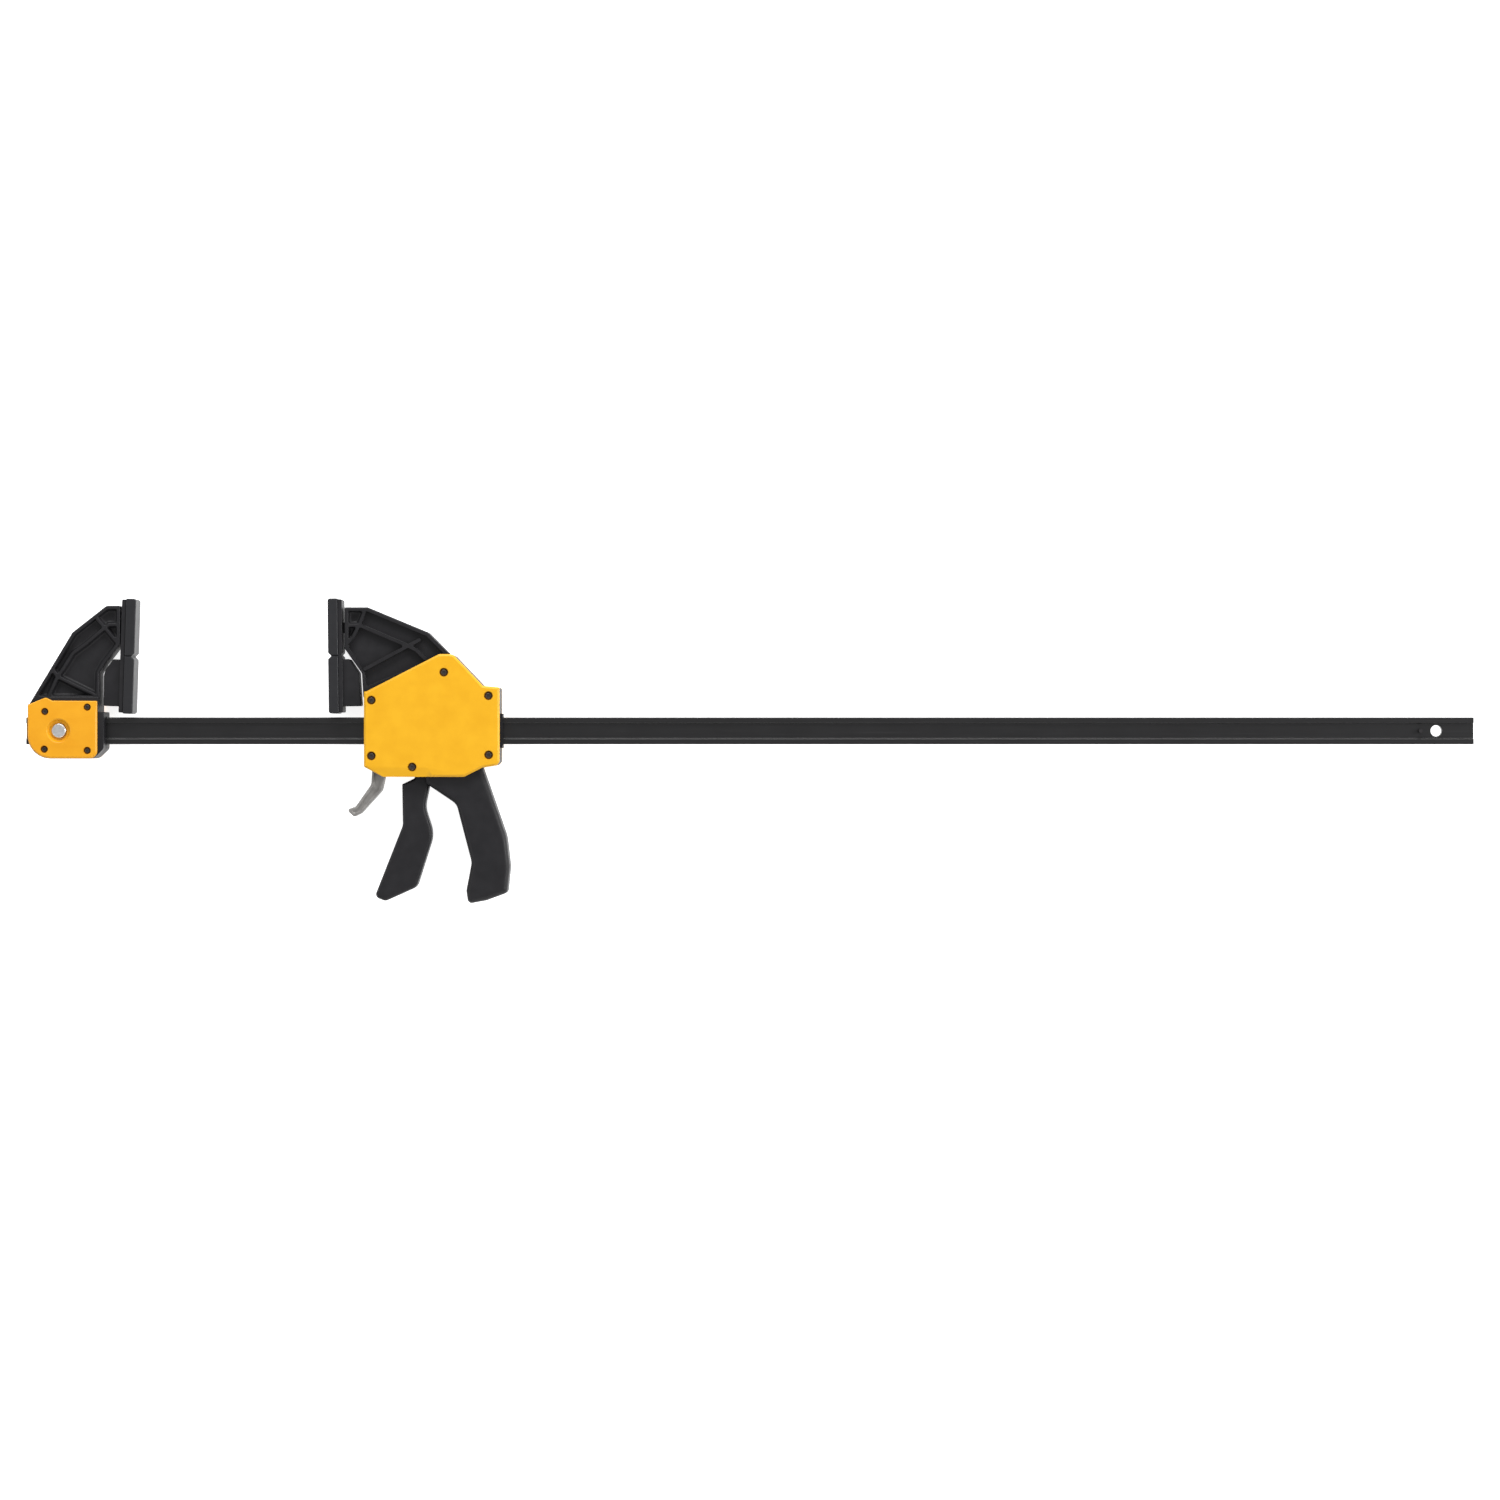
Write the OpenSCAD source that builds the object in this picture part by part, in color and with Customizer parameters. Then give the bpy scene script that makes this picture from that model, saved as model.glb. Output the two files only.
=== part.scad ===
// One-handed trigger bar clamp, lying flat on its side.
// Frame: +X along the bar from the fixed jaw to the free end, +Y towards the jaws, +Z up.
// The origin is under the middle of the whole clamp, on the surface it lies on.
// Modules are drawn about the bar's centre line; place() moves them into the frame.

/* [Bar] */
// Length of the bar
bar_length = 1178; // [700:1:1300]
// Height of the bar section
bar_height = 22; // [20:0.5:24]
// Width of the flanges
bar_width = 10.8; // [10:0.1:12]
// Thickness of each flange
flange_t = 4.8; // [4:0.1:5.5]
// Thickness of the web
web_t = 7; // [5:0.1:8]
// Radius of the hole near each end
hole_r = 4.65; // [4.6:0.01:4.7]
// Distance from each end of the bar to the centre of its hole
hole_inset = 30.2; // [28:0.1:34]

/* [Jaws] */
// Distance between the lock peg and the middle of the sliding jaw's housing
jaw_setting = 302.5; // [160:0.5:900]
// Thickness of the arms
arm_t = 24; // [20:1:26]
// Thickness of the web between an arm's ribs
arm_web_t = 15; // [8:1:18]
// Width of the thin ribs on the arms
rib_w = 2.6; // [2:0.1:4]

/* [Body] */
// Thickness over both covers
clamp_t = 39; // [36:1:42]
// Thickness of each cover
cover_t = 3; // [2.5:0.1:3.5]
// Thickness of the rear handle
handle_t = 28; // [25:1:30]
// Thickness of the trigger
trigger_t = 19; // [16:1:20]

/* [Pads] */
// Length of the pads
pad_length = 93.5; // [80:0.5:100]
// Width of the soft faces
pad_w = 27; // [24:1:30]
// Thickness of the soft faces
face_t = 8.2; // [6:0.1:9]
// Thickness of the hard carriers
shoe_t = 3.4; // [3:0.1:4]
// Depth of the groove across each face
groove_depth = 2.6; // [1:0.1:4]
// Depth of the shallow grooves that carry on round the sides of the faces
side_groove = 0.8; // [0.4:0.1:1.2]
// Depth of the notch behind the groove of the sliding jaw's pad
back_notch = 1.6; // [0.5:0.1:2]

/* [Fits] */
// Gap between the bar and the guides
bar_gap = 0.3; // [0.2:0.05:0.5]
// Radial clearance of a pin in a part that turns on it
pin_gap = 0.06; // [0.02:0.01:0.1]

/* [Hidden] */
$fn = 48;

steel_black = "#2c2c2e";
plastic_black = "#3a3a3d";
rubber_black = "#2a2a2c";
cover_yellow = "#f5b32e";
steel_bright = "#b8b8ba";

corner_steps = 6;
eps = 0.01;
through = 100;

bar_y = 16;
mid_z = clamp_t / 2;
peg_inset = hole_inset - 1.7;
fixed_x = peg_inset - bar_length / 2;
housing_x = fixed_x + jaw_setting;
body_t = clamp_t - 2 * cover_t;
body_z = body_t / 2;
slot_y = bar_height / 2 + bar_gap;
slot_z = bar_width / 2 + bar_gap;
flange_round = 0.9;
web_round = 0.6;

stop_r = 1.6;
stop_x = bar_length / 2 - 43.5;
stop_half = 7.5;

fixed_screw_r = 1.4;
fixed_screw_head_r = 2.6;
fixed_screw_hole_r = 3;
housing_screw_r = 1.7;
housing_screw_head_r = 3.2;
housing_screw_hole_r = 3.6;
head_t = 1.2;
head_seat = body_z + 0.7;
socket_floor = 0.5;
cover_bevel = 0.9;
shank_gap = 0.2;
screw_tip_z = 10.2;
boss_r = 4.2;
boss_z = 10;
guide_y = 14;
guide_z = 8.6;
guide_slot_x = [-60, -49, 47, 60];
front_guide_x = [-54.8, -49.2];
rear_guide_x = [47.2, 57];

// Corners are [x, y, radius], listed anticlockwise.
fixed_cover_outline = [
    [31.2, -22.3, 6], [31.2, 24.2, 1.2], [-5.3, 24.4, 3], [-10.5, 27, 3],
    [-25.1, 21, 1.5], [-25.1, -22.3, 19],
];
fixed_body_outline = [
    [28.2, -22.6, 7], [36.2, -14.6, 4], [36.2, 15.4, 1], [31.8, 15.4, 0.5], [31.8, 27.6, 1],
    [-8, 27.6, 3], [-25.6, 21.4, 1.5], [-25.6, -22.6, 18.5],
];
fixed_arm_outline = [
    [30, 0, 0], [30, 19.4, 0], [32, 19.4, 0.5], [32, 46.8, 4], [36.6, 54.6, 6], [49, 70.4, 0.6],
    [49, 101.7, 1.5], [37.8, 101.7, 5], [10, 79.9, 3], [-25.2, 21.4, 1], [-18, 0, 0],
];
fixed_arm_pocket = [
    [29.4, 28.5, 1], [29.6, 47.5, 5], [34.4, 56.2, 5], [46, 71.2, 1], [46, 98.7, 1],
    [38.6, 98.7, 4], [12, 77.8, 3], [-17.8, 28.5, 1],
];
fixed_main_rib = [
    [-10, 26], [-2, 43.9], [3.1, 51], [10.5, 63], [20.9, 70.6], [36.3, 83.7], [39.4, 86.2], [49, 86.6],
];
fixed_cross_ribs = [
    [[29.6, 91.6], [36.3, 83.7], [47.4, 70.4]],
    [[-2, 43.9], [26.8, 29.8], [31, 27]],
    [[-8, 53], [-2, 43.9]],
];
fixed_screws = [[-11.2, 15.6], [23.2, 19.2], [-11.6, -15], [23.2, -16]];

housing_outline = [
    [52.8, -28, 4.5], [55, -25, 2], [55, 35.2, 1.6], [41.5, 36.4, 2], [17, 62.2, 7],
    [6, 62.2, 5], [-53.2, 31.8, 1], [-55, 31.8, 0.8], [-55, -29.2, 1.5], [-39.5, -37.4, 3],
    [26.2, -37.4, 6], [41, -29.8, 4],
];
housing_screws_at = [
    [-49, 24.8], [9.8, 47.4], [45.9, 28.4], [-49, -20.4], [-15.9, -29.4], [46.1, -19.6],
];
cavity_outline = [
    [48, -23.5, 3], [48, 30, 3], [38.5, 31.5, 2], [14.5, 56.5, 4], [7.5, 56.5, 4],
    [-50, 27.3, 1], [-50, -26, 2], [-38, -32.4, 2], [25.5, -32.4, 3], [39, -25, 3],
];
moving_arm_outline = [
    [-55.8, 22, 0], [-57.3, 46.8, 3], [-71.4, 66.8, 0.6], [-71.4, 100.4, 1],
    [-52.6, 100.4, 2], [-3.3, 79.9, 4], [17.9, 58.6, 1], [17.9, 45, 0], [-20, 26, 0],
];
moving_arm_pocket = [
    [-53.4, 36, 1], [-55.2, 47.4, 3], [-68.2, 67.6, 1], [-68.2, 97.4, 1],
    [-53.2, 97.2, 2], [-4.9, 77.1, 4], [10, 62.2, 1],
];
moving_main_rib = [[-71, 85.6], [-59.5, 85.9], [-19.7, 68.9], [-13.2, 65.6], [-5, 57.4]];
moving_cross_ribs = [
    [[-9.6, 74.4], [-19.7, 68.9], [-56, 49.4]],
    [[-54.6, 98.6], [-59.5, 85.9], [-64.4, 76.4], [-71, 69]],
];
handle_outline = [
    [60.9, -131.6, 4], [63, -110, 18], [60.2, -86, 34], [41.4, -32, 3], [24, -28, 0],
    [-6, -28, 0], [-6, -42.4, 1], [19.5, -59.6, 10], [31.8, -107, 12], [27.4, -130, 6],
    [29, -140.6, 3.5], [44, -137.8, 12],
];

trigger_pivot = [-12, 26];
nose_r = 4;
nose_at = [-10.4, -18];
trigger_pin_r = 3;
trigger_pin_z = body_z - 0.3;
cheek_w = 12;
cheek_z = [6.6, 10.6];
trigger_outline = [
    [-2.4, -42, 2], [-6.6, -62, 20], [0.6, -84, 24], [-13, -127, 8], [-38.5, -138.6, 5],
    [-47.4, -135, 4], [-24.4, -77, 10], [-24.9, -43.5, 1], [-14.4, -38.4, 1.5], [-19, -26, 2],
    [-19, -13.6, 1], [-9, -13.6, 1], [-9, -24.6, 1],
];
cheek_low = -15;
trigger_slot_low = [-20.5, -58, -trigger_t / 2 - 0.9];
trigger_slot_high = [14.6, -30, trigger_t / 2 + 0.9];

plate_t = 3;
plate_gap = 0.3;
plates_x = nose_at[0] + nose_r + plate_gap;
plate_y = [-22.4, 20];
plate_z = 10;
spring_wire_r = 0.8;
drive_spring_r = 13.6;
drive_spring_x = plates_x + 2 * plate_t + plate_gap + spring_wire_r + 0.2;
drive_spring_end = 46;

pin_lug_z = 12;
brake_seat_z = 11;
brake_pivot = [-38, 20];
brake_tilt = 6.6;
brake_t = 3.6;
brake_z = 9;
brake_reach = 50;
brake_window_y = [-32.4, -7.9];
brake_slot_x = [-51.6, -31.5];
brake_slot_y = [-60, -24];
brake_spring_r = 3.4;
brake_wire_r = 0.45;
brake_spring_at = [-38.6, -20.5];
brake_spring_length = 8.1;
lever_outline = [
    [-41, -26, 1], [-39.2, -38, 4], [-41.5, -48.5, 8], [-58, -67, 6], [-64, -70, 2],
    [-70.4, -64, 2], [-62.6, -61.4, 3], [-50, -43.6, 6], [-49.2, -30, 2], [-45, -26, 1],
];

// Heel blocks behind the pad carriers, drawn from the carrier's back towards the arm
fixed_heel = [
    [eps, 20, 0], [eps, 58.2, 0], [-6.2, 58.2, 1], [-12, 49.6, 3], [-13.3, 44.5, 5], [-12.7, 20, 1.2],
];
moving_heel = [
    [eps, 20, 0], [eps, 58.4, 0], [-5.6, 58.4, 2], [-13, 47.2, 3], [-14.4, 20, 1.2],
];
pin_boss_r = 3.9;
socket_behind = 5;
socket_reach = 10;
socket_gap = [0.8, 0.4];
fixed_arm_end = 49;
moving_arm_end = -71.4;
pad_pin_r = 2;
pad_pin_y = 84;
pad_y = 61;
lug_z = 3.5;
lug_r = 4.4;
pad_pin_z = [-arm_t / 2 + 0.4, 5.3];
heel_z = 10;
shoe_margin = [1, 0.8];
fixed_pad_lean = -1.85;
moving_pad_lean = 0.7;
// Backs of the pad carriers, measured from the lock peg and from the housing's middle
fixed_pad_back = 49.8;
moving_pad_back = -73.3;
pad_pin_depth = 5.6;

button_r = 5.8;
button_top = clamp_t / 2 - 1.2;
button_gap = 0.3;
yoke_w = 10;
yoke_gap = 0.6;
yoke_y = 16.5;
yoke_arm = 3;
yoke_low = -9.5;
yoke_plate = 2.5;
bridge_low = 11.4;
bridge_top = 13.8;
pocket_top = bridge_top + 0.7;
button_spring_r = 3.6;
button_wire_r = 0.25;
button_spring_length = 6.4;
rivet_r = 2.5;
peg_top = 1.5;
peg_gap = 0.08;
dish_r = 9.8;
dish_floor_r = button_r + 1.4;
dish_depth = 2.2;
dish_boss_r = dish_r + 1.5;
dish_boss_gap = 0.4;

// ---- outlines ----

function xy(c) = [c[0], c[1]];
function unit(v) = v / norm(v);
function turned(v, a) = [v[0] * cos(a) - v[1] * sin(a), v[0] * sin(a) + v[1] * cos(a)];

// Points of one corner p between its neighbours a and b, rounded to radius r
function corner(a, p, b, r) =
    r <= 0 ? [p] :
    let (
        u = unit(a - p),
        v = unit(b - p),
        half = acos(u * v) / 2,
        centre = p + unit(u + v) * r / sin(half),
        start = p + u * r / tan(half) - centre,
        sweep = (180 - 2 * half) * sign(u[1] * v[0] - u[0] * v[1])
    )
    [for (k = [0:corner_steps]) centre + turned(start, sweep * k / corner_steps)];

// Polygon points of an outline given as [x, y, radius] corners
function rounded(c) = [
    for (i = [0:len(c) - 1])
        each corner(xy(c[(i + len(c) - 1) % len(c)]), xy(c[i]), xy(c[(i + 1) % len(c)]), c[i][2])
];

// Corners moved inwards by d
function inset(c, d) = [
    for (i = [0:len(c) - 1])
        let (
            a = xy(c[(i + len(c) - 1) % len(c)]),
            p = xy(c[i]),
            b = xy(c[(i + 1) % len(c)]),
            n1 = turned(unit(p - a), 90),
            n2 = turned(unit(b - p), 90),
            m = (n1 + n2) / (1 + n1 * n2)
        )
        [p[0] + d * m[0], p[1] + d * m[1], max(0.3, c[i][2] - d)]
];

module slab(outline, z0, z1) {
    translate([0, 0, z0]) linear_extrude(z1 - z0) polygon(rounded(outline));
}

// One edge of a rib of half-width d along a path
function edge_points(path, d) = [
    for (i = [0:len(path) - 1])
        let (
            n1 = turned(unit(path[max(i, 1)] - path[max(i, 1) - 1]), 90),
            n2 = turned(unit(path[min(i + 1, len(path) - 1)] - path[min(i, len(path) - 2)]), 90)
        )
        path[i] + d * (n1 + n2) / (1 + n1 * n2)
];

function reversed(list) = [for (i = [len(list) - 1:-1:0]) list[i]];

// Rib of width w along a path, with mitred bends
module rib(path, w, z0, z1) {
    translate([0, 0, z0]) linear_extrude(z1 - z0)
        polygon(concat(edge_points(path, -w / 2), reversed(edge_points(path, w / 2))));
}

module rod(at, r, z0, z1) {
    translate([at[0], at[1], z0]) cylinder(r = r, h = z1 - z0);
}

// Block between two opposite corners
module block(low, high) {
    translate(low) cube(high - low);
}

// Same shape on the front and on the back
module both_sides() {
    children();
    mirror([0, 0, 1]) children();
}

module place() {
    translate([0, bar_y, mid_z]) children();
}

module at_fixed_jaw() {
    place() translate([fixed_x, 0, 0]) children();
}

module at_housing() {
    place() translate([housing_x, 0, 0]) children();
}

// Helical spring along +Z
function ring(c, t, r, wire, turns, h, sides) =
    let (a = 360 * turns * t, centre = [r * cos(a), r * sin(a), h * t])
    [for (s = [0:sides - 1])
        let (b = 360 * s / sides)
        centre + wire * [cos(b) * cos(a), cos(b) * sin(a), sin(b)]];

module helix(r, wire, turns, h, per_turn = 14, sides = 8) {
    rings = ceil(turns * per_turn);
    points = [for (i = [0:rings]) each ring(i, i / rings, r, wire, turns, h, sides)];
    walls = [
        for (i = [0:rings - 1], s = [0:sides - 1])
            let (n = (s + 1) % sides)
            [i * sides + s, (i + 1) * sides + s, (i + 1) * sides + n, i * sides + n]
    ];
    first = [for (s = [0:sides - 1]) s];
    last = [for (s = [sides - 1:-1:0]) rings * sides + s];
    polyhedron(points, concat([first], walls, [last]));
}

// ---- bar ----

module bar() {
    hy = bar_height / 2;
    hz = bar_width / 2;
    wy = hy - flange_t;
    wz = web_t / 2;
    fr = flange_round;
    wr = web_round;
    section = [
        [-hy, -hz, fr], [-wy, -hz, fr], [-wy, -wz, wr], [wy, -wz, wr], [wy, -hz, fr],
        [hy, -hz, fr], [hy, hz, fr], [wy, hz, fr], [wy, wz, wr], [-wy, wz, wr],
        [-wy, hz, fr], [-hy, hz, fr],
    ];
    color(steel_black) place() difference() {
        translate([-bar_length / 2, 0, 0])
            rotate([90, 0, 90]) linear_extrude(bar_length) polygon(rounded(section));
        rod([fixed_x, 0], hole_r, -bar_width, bar_width);
        rod([bar_length / 2 - hole_inset, 0], hole_r, -bar_width, bar_width);
        rod([stop_x, 0], stop_r, -bar_width, bar_width);
    }
}

module bar_stop_pin() {
    color(steel_bright) place() rod([stop_x, 0], stop_r, -stop_half, stop_half);
}

// ---- fixed jaw ----

// Recesses between the ribs, on one face of an arm
module arm_recess(pocket, main_rib, cross_ribs) {
    difference() {
        slab(pocket, arm_web_t / 2, arm_t);
        rib(main_rib, rib_w, 0, arm_t / 2);
        for (path = cross_ribs) rib(path, rib_w, 0, arm_t / 2);
    }
}

// Slot and blind pin hole that hold a pad's lug in the end of an arm
module lug_socket(end_x, pin_x, away) {
    ends = [pin_x + away * socket_behind, end_x - away * socket_reach];
    half_y = lug_r + socket_gap[0];
    half_z = lug_z + socket_gap[1];
    block([min(ends), pad_pin_y - half_y, -half_z], [max(ends), pad_pin_y + half_y, half_z]);
    rod([pin_x, pad_pin_y], pad_pin_r, -arm_t, pad_pin_z[1]);
}

module screw_holes(spots, r) {
    for (s = spots) both_sides() rod(s, r, screw_tip_z, body_t);
}

module fixed_jaw_body() {
    pocket_x = max(yoke_w / 2, button_r) + yoke_gap;
    pocket_y = yoke_y + yoke_gap;
    pin_x = fixed_pad_back - pad_pin_depth;
    color(plastic_black) at_fixed_jaw() difference() {
        union() {
            slab(fixed_body_outline, -body_z, body_z);
            difference() {
                slab(fixed_arm_outline, -arm_t / 2, arm_t / 2);
                both_sides() arm_recess(fixed_arm_pocket, fixed_main_rib, fixed_cross_ribs);
            }
            rod([pin_x, pad_pin_y], pin_boss_r, -arm_t / 2, 0);
        }
        block([-through, -slot_y, -slot_z], [through, slot_y, slot_z]);
        block([-pocket_x, -pocket_y, -body_t], [pocket_x, pocket_y, pocket_top]);
        rod([0, 0], dish_boss_r + dish_boss_gap, bridge_top + dish_boss_gap - 0.2, body_t);
        screw_holes(fixed_screws, fixed_screw_r);
        lug_socket(fixed_arm_end, pin_x, -1);
    }
}

// Cover plate for one side, with stepped screw holes
module cover(outline, spots, hole_r, shank_r) {
    difference() {
        union() {
            slab(outline, body_z, clamp_t / 2 - cover_bevel);
            slab(inset(outline, cover_bevel), body_z, clamp_t / 2);
        }
        for (s = spots) {
            rod(s, hole_r, head_seat, clamp_t);
            rod(s, shank_r + shank_gap, body_z - eps, clamp_t);
        }
    }
}

module fixed_jaw_front_cover() {
    color(cover_yellow) at_fixed_jaw() difference() {
        union() {
            cover(fixed_cover_outline, fixed_screws, fixed_screw_hole_r, fixed_screw_r);
            rod([0, 0], dish_boss_r, bridge_top + dish_boss_gap, head_seat);
        }
        translate([0, 0, clamp_t / 2 - dish_depth])
            cylinder(r1 = dish_floor_r, r2 = dish_r, h = dish_depth + eps);
        rod([0, 0], button_r + button_gap, 0, clamp_t);
    }
}

module fixed_jaw_back_cover() {
    color(cover_yellow) at_fixed_jaw() mirror([0, 0, 1])
        cover(fixed_cover_outline, fixed_screws, fixed_screw_hole_r, fixed_screw_r);
}

// Screw with a socket head, pointing down into the body
module screw(at, head_r, shank_r) {
    difference() {
        union() {
            rod(at, head_r, head_seat, head_seat + head_t);
            rod(at, shank_r, screw_tip_z, head_seat + eps);
        }
        translate([at[0], at[1], head_seat + socket_floor])
            cylinder(r = head_r / 2, h = head_t, $fn = 6);
    }
}

module fixed_jaw_screws() {
    color(steel_bright) at_fixed_jaw() both_sides()
        for (s = fixed_screws) screw(s, fixed_screw_head_r, fixed_screw_r);
}

// Push button and the yoke that reaches round the bar to the lock peg
module quick_change_button() {
    w = yoke_w / 2;
    inner_y = yoke_y - yoke_arm;
    color(steel_bright) at_fixed_jaw() difference() {
        union() {
            rod([0, 0], button_r, bridge_top - eps, button_top);
            difference() {
                block([-w, -yoke_y, yoke_low], [w, yoke_y, bridge_top]);
                block([-yoke_w, -inner_y, yoke_low + yoke_plate], [yoke_w, inner_y, bridge_low]);
            }
        }
        rod([0, 0], rivet_r, -clamp_t, 0);
    }
}

module lock_peg() {
    shoulder = yoke_low + yoke_plate;
    color(steel_bright) at_fixed_jaw() union() {
        rod([0, 0], hole_r - peg_gap, shoulder, peg_top);
        rod([0, 0], rivet_r, yoke_low, shoulder + eps);
    }
}

module button_spring() {
    color(steel_bright) at_fixed_jaw() translate([0, 0, -body_z + 0.3])
        helix(button_spring_r, button_wire_r, 3, button_spring_length, 14, 6);
}

// ---- pads ----

// Everything on a pad is drawn with its back at x = 0 and its face towards +X.
module shoe(heel, notch) {
    half = pad_w / 2 - shoe_margin[0];
    low = pad_y - pad_length / 2 + shoe_margin[1];
    high = pad_y + pad_length / 2 - shoe_margin[1];
    notch_y = pad_y + 0.9;
    notch_half = 1.2 * notch;
    difference() {
        union() {
            slab([
                [shoe_t, low, 0.5], [shoe_t, high, 0.5], [0, high, 1],
                [0, notch_y + notch_half, 0], [notch, notch_y, 0], [0, notch_y - notch_half, 0],
                [0, low, 1],
            ], -half, half);
            block([-pad_pin_depth, pad_pin_y - lug_r, -lug_z], [eps, pad_pin_y + lug_r, lug_z]);
            rod([-pad_pin_depth, pad_pin_y], lug_r, -lug_z, lug_z);
            slab(heel, -heel_z, heel_z);
        }
        rod([-pad_pin_depth, pad_pin_y], pad_pin_r + pin_gap, -pad_w, pad_w);
    }
}

module face() {
    half = pad_w / 2;
    low = pad_y - pad_length / 2;
    high = pad_y + pad_length / 2;
    front = shoe_t + face_t;
    groove_side = side_groove * sqrt(2);
    difference() {
        slab([
            [front, low, 2.2], [front, pad_y - groove_depth, 0.6], [front - groove_depth, pad_y, 0.4],
            [front, pad_y + groove_depth, 0.6], [front, high, 2.2], [shoe_t, high, 1], [shoe_t, low, 1],
        ], -half, half);
        both_sides() translate([front / 2, pad_y, half])
            rotate([45, 0, 0]) cube([2 * front, groove_side, groove_side], center = true);
    }
}

// Turns a pad about its pin by its lean at rest
module leaned(back, away, lean) {
    translate([back, 0, 0])
        translate([-away * pad_pin_depth, pad_pin_y, 0])
            rotate(lean)
                translate([away * pad_pin_depth, -pad_pin_y, 0]) children();
}

module on_fixed_arm() {
    at_fixed_jaw() leaned(fixed_pad_back, 1, fixed_pad_lean) children();
}

module on_moving_arm() {
    at_housing() leaned(moving_pad_back, -1, moving_pad_lean) mirror([1, 0, 0]) children();
}

module fixed_pad_shoe() {
    color(plastic_black) on_fixed_arm() shoe(fixed_heel, 0.3);
}

module fixed_pad_face() {
    color(rubber_black) on_fixed_arm() face();
}

module moving_pad_shoe() {
    color(plastic_black) on_moving_arm() shoe(moving_heel, back_notch);
}

module moving_pad_face() {
    color(rubber_black) on_moving_arm() face();
}

module fixed_pad_pin() {
    color(steel_bright) at_fixed_jaw()
        rod([fixed_pad_back - pad_pin_depth, pad_pin_y], pad_pin_r, pad_pin_z[0], pad_pin_z[1]);
}

module moving_pad_pin() {
    color(steel_bright) at_housing()
        rod([moving_pad_back + pad_pin_depth, pad_pin_y], pad_pin_r, pad_pin_z[0], pad_pin_z[1]);
}

// ---- sliding jaw ----

// Everything inside the housing that stands on its walls
module housing_bosses() {
    for (s = housing_screws_at) both_sides() rod(s, boss_r, boss_z, body_z);
    both_sides() {
        block([7.9, 46, boss_z], [11.7, 59, body_z]);
        block([-18.5, 20, pin_lug_z], [-5.5, 54, body_z]);
    }
    block([-30, -34, -6], [-27, -14.5, 6]);
    block([-44.6, 19.2, -brake_seat_z], [brake_pivot[0] - 2.4, 34, brake_seat_z]);
    block([brake_pivot[0] + 2.2, 19.2, -brake_seat_z], [-32, 38, brake_seat_z]);
    block([-44.6, 22.2, -brake_seat_z], [-32, 38, brake_seat_z]);
}

module moving_jaw_body() {
    brake_slot_z = brake_z + 0.8;
    pin_x = moving_pad_back + pad_pin_depth;
    color(plastic_black) at_housing() difference() {
        union() {
            slab(housing_outline, -body_z, body_z);
            difference() {
                slab(moving_arm_outline, -arm_t / 2, arm_t / 2);
                both_sides() arm_recess(moving_arm_pocket, moving_main_rib, moving_cross_ribs);
            }
            slab(handle_outline, -handle_t / 2, handle_t / 2);
            rod([pin_x, pad_pin_y], pin_boss_r, -arm_t / 2, 0);
        }
        difference() {
            slab(cavity_outline, -body_t, body_t);
            housing_bosses();
        }
        for (i = [0, 2])
            block([guide_slot_x[i], -guide_y, -guide_z], [guide_slot_x[i + 1], guide_y, guide_z]);
        block(trigger_slot_low, trigger_slot_high);
        block(
            [brake_slot_x[0], brake_slot_y[0], -brake_slot_z],
            [brake_slot_x[1], brake_slot_y[1], brake_slot_z]
        );
        rod(trigger_pivot, trigger_pin_r, -trigger_pin_z, trigger_pin_z);
        screw_holes(housing_screws_at, housing_screw_r);
        lug_socket(moving_arm_end, pin_x, 1);
    }
}

module housing_front_cover() {
    color(cover_yellow) at_housing()
        cover(housing_outline, housing_screws_at, housing_screw_hole_r, housing_screw_r);
}

module housing_back_cover() {
    color(cover_yellow) at_housing() mirror([0, 0, 1])
        cover(housing_outline, housing_screws_at, housing_screw_hole_r, housing_screw_r);
}

module housing_screws() {
    color(steel_bright) at_housing() both_sides()
        for (s = housing_screws_at) screw(s, housing_screw_head_r, housing_screw_r);
}

// Collar that the bar runs in
module bar_guide(x) {
    difference() {
        block([x[0], -guide_y, -guide_z], [x[1], guide_y, guide_z]);
        block([-through, -slot_y, -slot_z], [through, slot_y, slot_z]);
    }
}

module front_bar_guide() {
    color(plastic_black) at_housing() bar_guide(front_guide_x);
}

module rear_bar_guide() {
    color(plastic_black) at_housing() bar_guide(rear_guide_x);
}

// ---- trigger and drive ----

module trigger() {
    half = trigger_t / 2;
    cheek_r = cheek_w / 2 - 0.6;
    color(plastic_black) at_housing() difference() {
        union() {
            slab(trigger_outline, -half, half);
            rod(nose_at, nose_r, -half, half);
            both_sides() {
                block(
                    [trigger_pivot[0] - cheek_w / 2, cheek_low, cheek_z[0]],
                    [trigger_pivot[0] + cheek_r, trigger_pivot[1], cheek_z[1]]
                );
                rod(trigger_pivot, cheek_r, cheek_z[0], cheek_z[1]);
            }
        }
        rod(trigger_pivot, trigger_pin_r + pin_gap, -clamp_t, clamp_t);
    }
}

module trigger_pin() {
    color(steel_bright) at_housing()
        rod(trigger_pivot, trigger_pin_r, -trigger_pin_z, trigger_pin_z);
}

module drive_plates() {
    color(steel_bright) at_housing() for (i = [0, 1])
        translate([plates_x + i * (plate_t + plate_gap), 0, 0]) difference() {
            block([0, plate_y[0], -plate_z], [plate_t, plate_y[1], plate_z]);
            block([-through, -slot_y, -slot_z], [through, slot_y, slot_z]);
        }
}

module drive_spring() {
    color(steel_bright) at_housing() translate([drive_spring_x, 0, 0])
        rotate([0, 90, 0]) helix(drive_spring_r, spring_wire_r, 7, drive_spring_end - drive_spring_x, 16, 8);
}

// ---- brake ----

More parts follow.
